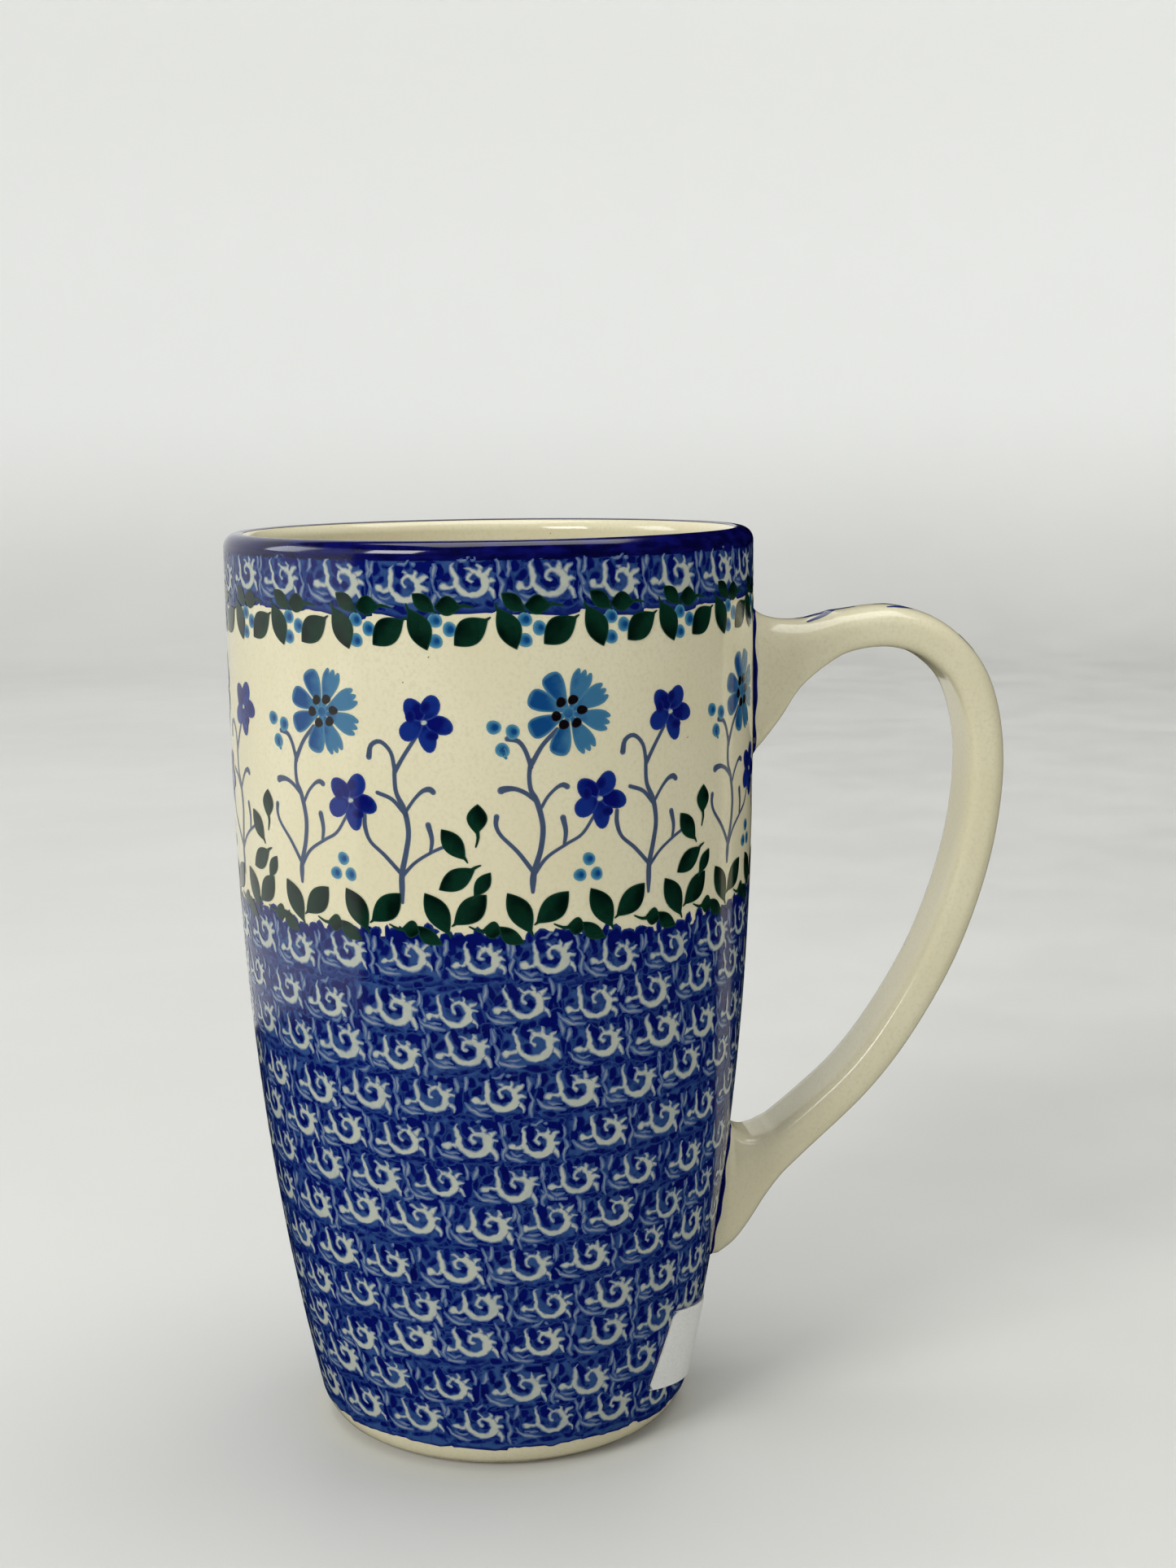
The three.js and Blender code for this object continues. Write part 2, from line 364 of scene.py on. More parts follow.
materials.update({name: paint(name, *values) for name, values in PAINTS.items()})


# ---- Flat shapes for the decoration, in millimetres ----


def columns(*values):
    return np.stack(values, axis=1)


def smooth_line(points, step):
    """Points a step apart on a smooth line through the given ones, extra columns included."""
    knots = np.asarray(points, float)
    padded = np.vstack([2 * knots[0] - knots[1], knots, 2 * knots[-1] - knots[-2]])
    line = []
    for a, b, c, d in zip(padded, padded[1:], padded[2:], padded[3:]):
        count = max(2, int(round(np.hypot(*(c - b)[:2]) / step)))
        for t in np.arange(count) / count:
            line.append(
                b + 0.5 * t * (c - a + t * (2 * a - 5 * b + 4 * c - d + t * (3 * (b - c) + d - a)))
            )
    line.append(knots[-1])
    return np.array(line)


def spun(points, degrees):
    """Flat points turned about the origin."""
    a = math.radians(degrees)
    return points @ np.array([[math.cos(a), math.sin(a)], [-math.sin(a), math.cos(a)]])


def stroke(points, step=0.45, soft=0.2, caps=4):
    """A brush stroke through (x, y, half width): its outline, and guides for its soft edge."""
    line = smooth_line(points, step)
    half = np.maximum(line[:, 2], 0.03)
    ways = np.gradient(line[:, :2], axis=0)
    ways /= np.linalg.norm(ways, axis=1)[:, None] + 1e-9
    side = columns(-ways[:, 1], ways[:, 0])
    centre = line[:, :2]

    def cap(middle, way, across, radius):
        turns = np.linspace(0, math.pi, caps + 2)[1:-1]
        return [middle + radius * (across * math.cos(t) + way * math.sin(t)) for t in turns]

    left = centre + side * half[:, None]
    right = centre - side * half[:, None]
    outline = [
        *left,
        *cap(centre[-1], ways[-1], side[-1], half[-1]),
        *right[::-1],
        *cap(centre[0], -ways[0], -side[0], half[0]),
    ]
    inner = np.maximum(half - soft, 0)[:, None]
    guides = [centre + side * inner, centre - side * inner, centre[half > soft + 0.12]]
    return np.array(outline), np.vstack(guides)


def blob(x, y, wide, tall, turn=0.0, wobble=0.0, seed=0.0, count=14, rings=(0.6,)):
    """A round or oval dab of paint."""
    turns = np.linspace(0, 2 * math.pi, count, endpoint=False)
    size = 1 + wobble * (np.cos(2 * turns + seed) + 0.7 * np.cos(3 * turns + 2.3 * seed))
    shape = spun(columns(wide * size * np.cos(turns), tall * size * np.sin(turns)), turn)
    guides = np.vstack([[[0.0, 0.0]]] + [shape * ring for ring in rings])
    return shape + (x, y), guides + (x, y)


def leaf(start, end, half_width, stalk=0.0, bend=0.0, soft=0.35):
    """A lens-shaped leaf, rounder at its start, with an optional thin stalk beyond its end."""
    start, end = np.asarray(start, float), np.asarray(end, float)
    way = (end - start) / np.hypot(*(end - start))
    side = np.array([-way[1], way[0]])
    t = np.linspace(0, 1, 16)
    centre = start + np.outer(t, end - start) + np.outer(np.sin(math.pi * t) * bend, side)
    half = np.maximum(half_width * np.sin(math.pi * t ** 0.94) ** 0.95, 0.03)[:, None]
    outline = np.vstack([centre + side * half, (centre - side * half)[::-1]])
    aside = side * np.maximum(half - soft, 0)[1:-1]
    middle = centre[1:-1]
    shapes = [(outline, np.vstack([middle + aside, middle - aside, middle]))]
    if stalk:
        near, far = end - way * 0.9, end + way * stalk
        middle = (near + far) / 2 + side * 0.15 * stalk
        shapes.append(stroke([(*near, 0.32), (*middle, 0.24), (*far, 0.12)], step=0.7))
    return shapes


def rim_sides(triangles):
    """The sides that belong to one triangle only."""
    sides = np.vstack([triangles[:, [0, 1]], triangles[:, [1, 2]], triangles[:, [2, 0]]])
    _, first, counts = np.unique(
        np.sort(sides, axis=1), axis=0, return_index=True, return_counts=True
    )
    return sides[first[counts == 1]]


def fill(shapes, soft=0.2):
    """Points, triangles and edge shares (0 at the rim, 1 inside) of the union of shapes."""
    corners, loops, guides = [], [], []
    for outline, inside in shapes:
        following = np.roll(outline, -1, axis=0)
        if np.cross(outline, following).sum() < 0:
            outline = outline[::-1]
        loops.append(list(range(len(corners), len(corners) + len(outline))))
        corners += [Vector(p) for p in outline]
        guides += [Vector(p) for p in inside]
    found = delaunay_2d_cdt(corners + guides, [], loops, 1, 1e-4, True)
    triangles = np.array([f for f, owners in zip(found[2], found[5]) if owners])
    used, triangles = np.unique(triangles, return_inverse=True)
    triangles = triangles.reshape(-1, 3)
    points = np.array([found[0][i][:] for i in used])
    a, b, c = (points[triangles[:, k]] for k in range(3))
    area = np.cross(b - a, c - a)
    solid = np.abs(area) > 1e-7
    triangles, area = triangles[solid], area[solid]
    triangles[area < 0] = triangles[area < 0][:, ::-1]
    rim = np.sort(rim_sides(triangles), axis=1)
    p, q = points[rim[:, 0]], points[rim[:, 1]]
    d = q - p
    share = np.clip(
        ((points[:, None] - p) * d).sum(2) / np.maximum((d * d).sum(1), 1e-12), 0, 1
    )
    gap = np.linalg.norm(points[:, None] - (p + share[..., None] * d), axis=2).min(1)
    return points, triangles, np.clip(gap / soft, 0, 1)


def hand_waver(x, y):
    """A small smooth shift that makes stamped edges uneven, from the place on the wall."""
    across = np.sin(2.9 * x + 1.3 * y) + 0.8 * np.sin(5.3 * y - 1.7 * x + 1.0)
    across = across + 0.5 * np.sin(8.1 * x + 3.1)
    upward = np.sin(3.3 * y - 1.1 * x + 2.0) + 0.8 * np.sin(4.7 * x + 2.3 * y)
    upward = upward + 0.5 * np.sin(9.2 * y + 0.4)
    return columns(across, upward)


# Extra lift of the paint over the foot's tight curve, where its flat triangles need more room
FOOT_LIFT = 0.035


class Paint:
    """All the dabs of one paint. They become one piece, lifted a little off the wall."""

    def __init__(self, lift):
        self.lift = lift
        self.parts = []
        self.count = 0

    def add_placed(self, points, normals, triangles, edge, tone):
        """Adds points that are already in place; the triangles turn to face outwards."""
        a, b, c = (points[triangles[:, k]] for k in range(3))
        inwards = (np.cross(b - a, c - a) * normals[triangles[:, 0]]).sum(axis=1) < 0
        triangles = np.where(inwards[:, None], triangles[:, ::-1], triangles)
        tone = np.broadcast_to(tone, edge.shape)
        self.parts.append((points, normals, triangles + self.count, edge, tone))
        self.count += len(points)

    def add(self, patch, angle, height, turn=0.0, size=1.0, tone=0.0, extra=0.0, waver=0.0):
        """Puts a filled patch on the wall, its origin at a decoration angle and a height."""
        flat, triangles, edge = patch
        local = spun(flat * size, turn)
        if waver:
            local = local + waver * hand_waver(angle * 0.7 + local[:, 0], height + local[:, 1])
        top = ALONG_TABLE[-1]
        along = np.minimum(along_at(height) + local[:, 1], top)
        z = np.interp(along, ALONG_TABLE, HEIGHT_TABLE)
        radius = np.interp(z, HEIGHT_TABLE, RADIUS_TABLE)
        slope = np.interp(z, HEIGHT_TABLE, SLOPE_TABLE)
        around = math.radians(FRONT + angle) + local[:, 0] / radius
        out = 1 / np.hypot(1, slope)
        normal = columns(np.cos(around) * out, np.sin(around) * out, -slope * out)
        wall = columns(radius * np.cos(around), radius * np.sin(around), z)
        cut = (along[triangles] >= top - 1e-6).all(1)
        lift = self.lift + extra + FOOT_LIFT * np.clip(FOOT_TURN_HEIGHT + 0.6 - z, 0, 1)
        self.add_placed(wall + normal * lift[:, None], normal, triangles[~cut], edge, tone)

    def piece(self, name, look, slot):
        points, normals, faces, edge, tone = map(np.concatenate, zip(*self.parts))
        used, faces = np.unique(faces, return_inverse=True)
        faces = faces.reshape(-1, 3)
        mesh = make_piece(name, points[used], faces, look, sharp=None).data
        for label, values in (("edge", edge), ("tone", tone)):
            layer = mesh.attributes.new(label, "FLOAT", "POINT")
            layer.data.foreach_set("value", values[used].astype(np.float32))
        mesh.normals_split_custom_set_from_vertices(normals[used].tolist())


# ---- Cup ----


OUTSIDE_HEIGHTS = np.concatenate([spread(GLAZE_LINE, 6.0, 14), spread(7.0, LIP_START, 90)])
INSIDE_HEIGHTS = np.concatenate([
    FLOOR_TOP + spread(0, FLOOR_TURN_HEIGHT, 26, 1.8), spread(FLOOR_TOP + 13, LIP_START, 60)
])


def outline_of(radius, heights, inset=0.0):
    """Profile points of a wall formula at the given heights, moved inwards by the inset."""
    return [(float(radius(z)) - inset, z) for z in heights]


def stoneware_profile():
    """The wall, floor and turned foot ring, rounded where it stands on the table."""
    low = 0.35
    inner, outer = FOOT_RING_INNER, float(outer_radius(low)) - GLAZE
    body = [(0, RECESS_TOP + GLAZE), (RECESS_EDGE + 0.3, RECESS_TOP + GLAZE)]
    body += [(inner - 0.35, 0.4), (inner - 0.1, 0.1), (inner + 0.25, 0)]
    body += [(outer - 0.55, 0), (outer - 0.18, 0.08)]
    body += outline_of(outer_radius, spread(low, LIP_START, 60), GLAZE)
    body += lip_arc(LIP_RADIUS - GLAZE)[1:-1]
    body += outline_of(inner_radius, INSIDE_HEIGHTS[::-1], -GLAZE)
    return body + [(0, FLOOR_TOP - GLAZE)]


def outside_profile():
    """Clear glaze over the outside, with a rolled lower edge."""
    foot = float(outer_radius(GLAZE_LINE))
    skin = [(foot - GLAZE * 0.6, GLAZE_LINE - 0.12), (foot - GLAZE * 0.22, GLAZE_LINE - 0.06)]
    skin += outline_of(outer_radius, OUTSIDE_HEIGHTS)
    return skin + outline_of(outer_radius, OUTSIDE_HEIGHTS[::6], GLAZE)[::-1]


def lining_profile():
    """Cream glaze over the inside, from the floor up to the band on the lip."""
    lining = [(0, FLOOR_TOP)] + outline_of(inner_radius, INSIDE_HEIGHTS)
    lining += lip_arc(LIP_RADIUS, 14, 174, RIM_BAND_END)
    hidden = outline_of(inner_radius, INSIDE_HEIGHTS[::6], -GLAZE)
    hidden = [(r, z - GLAZE * (z <= FLOOR_TOP)) for r, z in hidden]
    hidden += lip_arc(LIP_RADIUS - GLAZE, 8, 174, RIM_BAND_END)
    return lining[::-1] + [(0, FLOOR_TOP - GLAZE)] + hidden


def rim_band_profile():
    """The band's glaze is a little proud of the wall and rolls off at its lower edge."""
    low, proud = LIP_START - RIM_BAND_DROP, RIM_RADIUS + RIM_BAND_PROUD
    band = [(RIM_RADIUS - 0.05, low), (RIM_RADIUS + 0.05, low + 0.08)]
    band += [(proud, low + 0.3), (proud, LIP_START - 0.3)]
    band += lip_arc(LIP_RADIUS + RIM_BAND_PROUD, 22, 0, RIM_BAND_END)
    return band + lip_arc(LIP_RADIUS - GLAZE, 10, 0, RIM_BAND_END)[::-1]


def underside_profile():
    """Glaze pooled inside the foot ring, a little thicker at its edge."""
    low, high = RECESS_TOP, RECESS_TOP + GLAZE
    disc = [(0, high), (RECESS_EDGE, high), (RECESS_EDGE + 0.05, low + 0.2)]
    disc += [(RECESS_EDGE - 0.2, low), (RECESS_EDGE - 1.5, low + 0.12)]
    return disc + [(RECESS_EDGE * share, low + 0.14) for share in (0.75, 0.5, 0.25, 0)]


def add_cup():
    for name, profile, look, slot, node in (
        ("cup_stoneware", stoneware_profile(), "stoneware", "stoneware", "cup_body"),
        ("outside_glaze", outside_profile(), "cream_glaze", "clear_glaze", "outer_glaze"),
        ("lining_glaze", lining_profile(), "cream_glaze", "cream_glaze", "inner_glaze"),
        ("rim_band", rim_band_profile(), "rim_glaze", "rim_glaze", "rim_glaze_band"),
        ("underside_pool", underside_profile(), "cream_glaze", "cream_glaze", "underside_glaze"),
    ):
        points, faces = lathe(profile)
        make_piece(name, points, facing_out(points, faces), look, [node])


# ---- Handle ----

# Where the strap widens, at its roots: outer edge (r, z), inner edge (r, z), half width
UPPER_ROOT = [
    (41.9, 133.4, 41.9, 107.6, 8.3), (43.0, 132.2, 43.1, 109.4, 7.6), (44.6, 131.2, 44.7, 111.6, 7.1),
    (47.4, 130.5, 46.8, 114.6, 6.7), (51.0, 130.5, 49.8, 119.2, 6.4), (54.5, 131.2, 54.2, 122.9, 6.25),
]
LOWER_ROOT = [
    (51.0, 40.0, 47.5, 46.6, 6.3), (47.2, 36.4, 44.3, 44.7, 6.5), (44.2, 32.5, 41.8, 44.0, 6.8),
    (41.7, 28.6, 40.0, 44.5, 7.2), (38.9, 25.0, 38.8, 45.6, 7.7), (35.6, 22.6, 37.6, 47.3, 8.3),
]
OUTER_SQUARENESS = 2.4
INNER_SQUARENESS = 4.6
ROOT_DEPTH = 0.25


def strap_stations(step=0.55):
    """Rows of outer edge (r, z), inner edge (r, z) and half width along the handle."""
    line = np.array(HANDLE_LINE, float)
    ways = np.gradient(line, axis=0)
    ways /= np.linalg.norm(ways, axis=1)[:, None]
    middle = []
    for (r, z), (along_r, along_z) in zip(line[2:-3], ways[2:-3]):
        out_r, out_z = -along_z * STRAP_THICKNESS / 2, along_r * STRAP_THICKNESS / 2
        middle.append((r + out_r, z + out_z, r - out_r, z - out_z, STRAP_WIDTH / 2))
    return smooth_line(UPPER_ROOT + middle + LOWER_ROOT, step)


def strap_ring(station, turns):
    """Points round one section: softly rounded outside, flatter on the inner face."""
    outer, inner, wide = station[0:2], station[2:4], station[4]
    centre, up = (outer + inner) / 2, (outer - inner) / 2
    cos, sin = np.cos(turns), np.sin(turns)
    inner_square = np.interp(wide, (STRAP_WIDTH / 2 + 0.1, 7.8), (INNER_SQUARENESS, OUTER_SQUARENESS))
    power = np.where(cos > 0, 2 / OUTER_SQUARENESS, 2 / inner_square)
    rise = np.sign(cos) * np.abs(cos) ** power
    aside = wide * np.sign(sin) * np.abs(sin) ** power
    return columns(centre[0] + up[0] * rise, aside, centre[1] + up[1] * rise)


def onto_wall(ring, depth):
    """The ring's points moved along x to a depth under the wall's surface."""
    moved = ring.copy()
    radius = outer_radius(np.clip(ring[:, 2], 0, LIP_START)) - depth
    moved[:, 0] = np.sqrt(np.maximum(radius ** 2 - ring[:, 1] ** 2, 0))
    return moved


def add_handle(segments=84):
    stations = strap_stations()
    turns = np.linspace(0, 2 * math.pi, segments, endpoint=False)
    turns = turns - 0.10 * np.sin(4 * turns)
    rings = [strap_ring(station, turns) for station in stations]
    rings[0] = onto_wall(rings[0], ROOT_DEPTH)
    rings[-1] = onto_wall(rings[-1], ROOT_DEPTH)
    points = np.vstack(rings)
    faces = []
    for i in range(len(rings) - 1):
        for j in range(segments):
            k = (j + 1) % segments
            low, high = i * segments, (i + 1) * segments
            faces.append([low + j, high + j, high + k, low + k])
    faces.append(list(range(segments)))
    faces.append(list(range((len(rings) - 1) * segments, len(rings) * segments))[::-1])
    make_piece(
        "handle_loop", points, facing_out(points, faces), "cream_glaze",
        ["handle_strap", "handle_glaze", "upper_slip_joint", "lower_slip_joint"], sharp=60,
    )
    return stations, rings


def add_root_lines(rings):
    """The painter's blue line round each root: on the wall, and a little way up the root."""
    lines = Paint(0.09)
    for ring in (rings[0], rings[-1]):
        height = float(ring[:, 2].mean())
        around = np.arcsin(ring[:, 1] / RIM_RADIUS) * RIM_RADIUS
        along = np.array([along_at(z) - along_at(height) for z in ring[:, 2]])
        flat = columns(around, along)
        out = flat - flat.mean(axis=0)
        flat = flat + out / np.linalg.norm(out, axis=1)[:, None] * 0.3
        half = len(flat) // 2
        loops = []
        for start in (0, half):
            part = [flat[(start + i) % len(flat)] for i in range(-2, half + 3, 2)]
            widths = 0.5 + 0.12 * np.sin(np.arange(len(part)) * 0.9 + start)
            loops.append(stroke([(*p, w) for p, w in zip(part, widths)], 0.8, 0.15))
        lines.add(fill(loops, 0.2), HANDLE_ANGLE, height, tone=0.3)
    for nearby in (rings[:9], rings[:-10:-1]):
        add_root_band(lines, np.array(nearby))
    lines.piece("root_lines", "root_line", "cobalt_paint")


def add_root_band(lines, nearby):
    """A strip of paint on the root itself, from the wall out to an uneven edge."""
    count = nearby.shape[1]
    ahead = np.roll(nearby, -1, axis=1) - np.roll(nearby, 1, axis=1)
    normals = np.cross(np.gradient(nearby, axis=0), ahead)
    normals /= np.linalg.norm(normals, axis=2)[..., None] + 1e-9
    middle = nearby.mean(axis=(0, 1))
    if (normals * (nearby - middle)).sum() < 0:
        normals = -normals
    places, directions, edge = [], [], []
    for j in range(count):
        gaps = np.hypot(nearby[:, j, 0], nearby[:, j, 1]) - outer_radius(nearby[:, j, 2])
        reach = 0.62 + 0.16 * math.sin(j * 0.42) + 0.1 * math.sin(j * 0.95 + 1)
        for share, inside in ((-0.1, 1.0), (0.55, 1.0), (1.0, 0.0)):
            row = np.interp(share * reach, gaps, np.arange(len(gaps)))
            i = min(int(row), len(gaps) - 2)
            spot = nearby[i, j] + (row - i) * (nearby[i + 1, j] - nearby[i, j])
            out = normals[max(i, 1), j]
            places.append(spot + out * 0.06)
            directions.append(out)
            edge.append(inside)
    triangles = []
    for j in range(count):
        k = (j + 1) % count
        for low in (0, 1):
            triangles.append((3 * j + low, 3 * k + low, 3 * k + low + 1))
            triangles.append((3 * j + low, 3 * k + low + 1, 3 * j + low + 1))
    triangles, edge = np.array(triangles), np.array(edge)
    lines.add_placed(np.array(places), np.array(directions), triangles, edge, 0.3)


def on_strap(stations, run, across, lift):
    """A point on the strap's outer face, a distance along and across it, and its way out."""
    steps = np.hypot(*np.diff(stations[:, 0:2], axis=0).T)
    places = np.concatenate([[0], np.cumsum(steps)])

    def surface(run, across):
        station = np.array([np.interp(run, places, column) for column in stations.T])
        outer, inner, wide = station[0:2], station[2:4], station[4]
        share = min(abs(across) / wide, 0.98)
        rise = (1 - share ** OUTER_SQUARENESS) ** (1 / OUTER_SQUARENESS)
        spot = (outer + inner) / 2 + (outer - inner) / 2 * rise
        return np.array([spot[0], across, spot[1]])

    here = surface(run, across)
    along = surface(run + 0.3, across) - here
    aside = surface(run, across + 0.05) - surface(run, across - 0.05)
    out = np.cross(along, aside)
    out /= np.linalg.norm(out)
    return here + out * lift, out


def add_spine_strokes(stations):
    """Brush strokes down the handle's outer face: a long one and short pairs beside it."""
    strokes = []
    for reach in (2.0, 15.5, 29.0):
        strokes.append([(reach + 1.0, 0.0, 0.25), (reach + 5.0, 0.15, 0.95), (reach + 11.0, -0.1, 0.3)])
        for side in (-1, 1):
            strokes.append([
                (reach + 7.5, 0.9 * side, 0.2), (reach + 5.0, 2.2 * side, 0.7),
                (reach + 2.5, 3.1 * side, 0.25),
            ])
    lines = Paint(0.0)
    for line in strokes:
        flat, triangles, edge = fill([stroke([(x + 6.0, y, w) for x, y, w in line], 0.8, 0.25)], 0.3)
        placed = np.array([on_strap(stations, x, y, 0.05) for x, y in flat])
        lines.add_placed(placed[:, 0], placed[:, 1], triangles, edge, 0.2)
    lines.piece("handle_brush_strokes", "spine_stroke", "cobalt_paint")


# ---- Decoration ----

STAMP_WIDTH = 10.35
STAMP_ROW = 7.05
FIELD_TOP = 88.1
FIELD_BOTTOM = 5.1
STAMP_MIDDLE = 5.2
FIGURE_KINDS = 14
BLOCK_KINDS = 5
POOL_KINDS = 14
EDGE_POOL_KINDS = 8
# How much a stamp's outlines waver, and how much each stamp lies over its neighbour
STAMP_WAVER = 0.085
STAMP_STEP = 0.004
TOP_ROW_FOOT = 137.6
TOP_ROW_COUNT = 25
GARLAND_COUNT = 21
PLANT_COUNT = 7
ROOT_CLEAR = 13.0
# Angle and height of the first plant and the first garland of each kind
BIG_PLANT = (7.66, 95.6)
SMALL_PLANT = (32.5, 95.0)
UPPER_GARLAND = (4.9, 133.5)
LOWER_GARLAND = (7.1, 91.6)


def scroll_motif(shift):
    """The stamp's pale figure, and the fainter lines beside it, as two filled patches.

    The figure is a round dot that runs up a neck, and a wave that curls over.
    """
    a, b, c, d, e, f = shift
    thick = 1.06 + 0.35 * e
    figure = [
        [(1.85, 2.1, 0.5), (2.7, 1.95 + c, 0.34), (3.5, 2.2, 0.44), (3.65, 3.2, 0.46),
         (3.35 + a, 4.3, 0.4), (3.2 + a, 5.1, 0.3), (3.6 + a, 5.6, 0.14)],
        [(3.45, 2.9, 0.36), (4.15, 1.6, 0.48), (5.3, 0.85, 0.54), (6.7, 0.85, 0.6), (7.7, 1.6, 0.7),
         (7.95, 2.7, 0.66), (7.4, 3.75, 0.52), (6.4, 4.2 + b, 0.42), (5.6, 3.85, 0.36),
         (5.45, 3.15, 0.34), (5.9, 2.75, 0.36)],
        [(7.7, 3.4, 0.5), (8.4, 4.1 + d, 0.44), (9.0, 4.4 + d, 0.26)],
        [(8.0, 2.7, 0.5), (8.7, 3.0 + c, 0.42), (9.3, 2.9 + c, 0.26)],
        [(7.9, 2.0, 0.5), (8.6, 1.6, 0.44), (9.1, 0.9 + b, 0.36), (9.2, 0.3 + b, 0.24)],
        [(7.1, 3.9, 0.46), (7.3, 4.7, 0.38), (7.1 + a, 5.2, 0.24)],
        [(6.2, 4.2, 0.32), (5.6 + a, 4.8, 0.28), (5.2 + a, 4.9, 0.2)],
    ]
    lines = [
        [(0.4, 5.5 + b, 0.3), (0.4, 4.4, 0.42), (0.1, 3.5, 0.28)],
        [(0.3, 1.6, 0.22), (1.1, 0.6, 0.38), (2.5, 0.0 + c, 0.4), (4.2, -0.15 + c, 0.24)],
        [(1.7, 1.05, 0.18), (2.7, 0.7 + c, 0.34), (3.7, 0.8, 0.2)],
        [(9.6, 5.9, 0.22), (10.0, 4.7 + d, 0.38), (9.9, 3.6, 0.24)],
        [(10.0, 3.4, 0.22), (10.6, 2.2 + b, 0.36), (10.1, 0.8, 0.38), (10.5, -0.4 + c, 0.22)],
        [(4.3 + a, 5.9, 0.24), (5.2 + a, 5.9, 0.36), (5.9 + a, 6.4 + d, 0.24)],
    ]
    heavy = [blob(1.8, 2.0 + 0.4 * d, 0.68 * thick, 0.62 * thick, count=11)]
    heavy += [stroke([(x, y, w * thick) for x, y, w in line], 0.5, 0.36, 3) for line in figure]
    faint = [stroke(line, 0.9, 0.5, 2) for line in lines[: 4 + int(e > 0) + int(d > 0.1)]]
    if f > 0:
        faint.append(blob(6.6 + a, 6.1, 0.42, 0.36, count=8))
    return fill(heavy, 0.46), fill(faint, 0.85)


# Where a stamp's blue paint pools darker: (x, y, half width, half height, turn, depth)
STAMP_POOLS = [
    (9.9, 1.6, 0.7, 1.9, 6, 1.0), (9.3, 5.0, 0.8, 1.3, 0, 0.9), (7.9, 5.6, 1.3, 0.75, 12, 1.0),
    (4.6, 4.6, 0.7, 1.3, 12, 1.0), (5.0, 2.5, 0.55, 0.9, 20, 0.7), (6.5, 2.5, 0.75, 0.65, 0, 0.55),
    (2.1, 3.4, 0.55, 1.0, -30, 1.0), (1.3, 4.6, 0.6, 1.2, 10, 0.9), (0.4, 2.3, 0.65, 1.2, 0, 1.0),
    (3.4, 0.9, 1.2, 0.42, 0, 0.7), (5.6, -0.5, 1.9, 0.5, -4, 1.0), (8.5, -0.5, 1.0, 0.55, 10, 1.0),
    (2.2, -0.8, 1.2, 0.42, 5, 0.8), (6.0, 5.7, 0.6, 0.6, 0, 0.9), (2.9, 5.4, 0.8, 0.4, 0, 0.7),
    (10.4, 3.6, 0.5, 0.9, 0, 0.8), (0.2, 0.2, 0.5, 0.7, 20, 0.8), (4.4, 6.6, 1.3, 0.4, 0, 0.6),
    (0.6, 6.3, 0.9, 0.45, 10, 0.7), (9.7, 6.6, 0.8, 0.5, 0, 0.7),
]


def field_edge_pools():
    """The blots that stand up from the field's upper edge."""
    places = (0.7, 3.0, 5.0, 7.4, 9.6)
    return [(x, 5.9, rng.uniform(0.6, 1.0), rng.uniform(1.0, 1.6), 0, 1.0) for x in places]


def some_pools(spots):
    """Most of the given pools, each a little out of place and shape."""
    shapes = []
    for x, y, wide, tall, slant, depth in spots:
        if rng.uniform() > 0.5 + 0.5 * depth:
            continue
        grow = rng.uniform(0.95, 1.5, 2)
        x, y = x + rng.uniform(-0.3, 0.3), y + rng.uniform(-0.25, 0.25)
        slant += rng.uniform(-16, 16)
        shapes.append(blob(x, y, wide * grow[0], tall * grow[1], slant, 0.13, x + y, 9))
    return shapes


def edge_of_stamp(seed, top):
    """The wash under one stamp: a rubber block's blunt rectangle with an uneven rim."""
    turns = np.linspace(0, 2 * math.pi, 52, endpoint=False)
    power = 2 / 5.0
    cos, sin = np.cos(turns), np.sin(turns)
    low, half = -2.0, 6.35
    x = half * np.sign(cos) * np.abs(cos) ** power
    y = (top - low) / 2 * np.sign(sin) * np.abs(sin) ** power
    ragged = 1 + 0.03 * np.cos(5 * turns + seed) + 0.025 * np.cos(9 * turns + 2 * seed)
    ragged += 0.02 * np.cos(17 * turns + 3 * seed)
    outline = columns(x * ragged + STAMP_MIDDLE, y * ragged + (top + low) / 2)
    across, up = np.linspace(0.2, 10.2, 9), np.linspace(-0.7, top - 1.2, 7)
    return outline, np.stack(np.meshgrid(across, up), axis=2).reshape(-1, 2)


def add_foot_strip(wash, pieces=24):
    """A strip of wash along the field's lower rim, so that the stamps' corners leave no gaps."""
    radius = float(outer_radius(FIELD_BOTTOM))
    half = math.pi * radius / pieces + 0.3
    x = np.linspace(-half, half, 15)
    for k in range(pieces):
        middle = 2 * math.pi * k / pieces
        turn = middle + x / radius
        low = -0.85 + 0.2 * np.sin(19 * turn) + 0.14 * np.sin(43 * turn + 1)
        low += 0.1 * np.sin(67 * turn + 2)
        outline = np.vstack([columns(x, low), columns(x, 0 * x + 1.6)[::-1]])
        guides = [columns(x, low + rise)[1:-1] for rise in (0.4, 0.8, 1.3)]
        patch = fill([(outline, np.vstack(guides))], 0.5)
        wash.add(patch, math.degrees(middle), FIELD_BOTTOM)


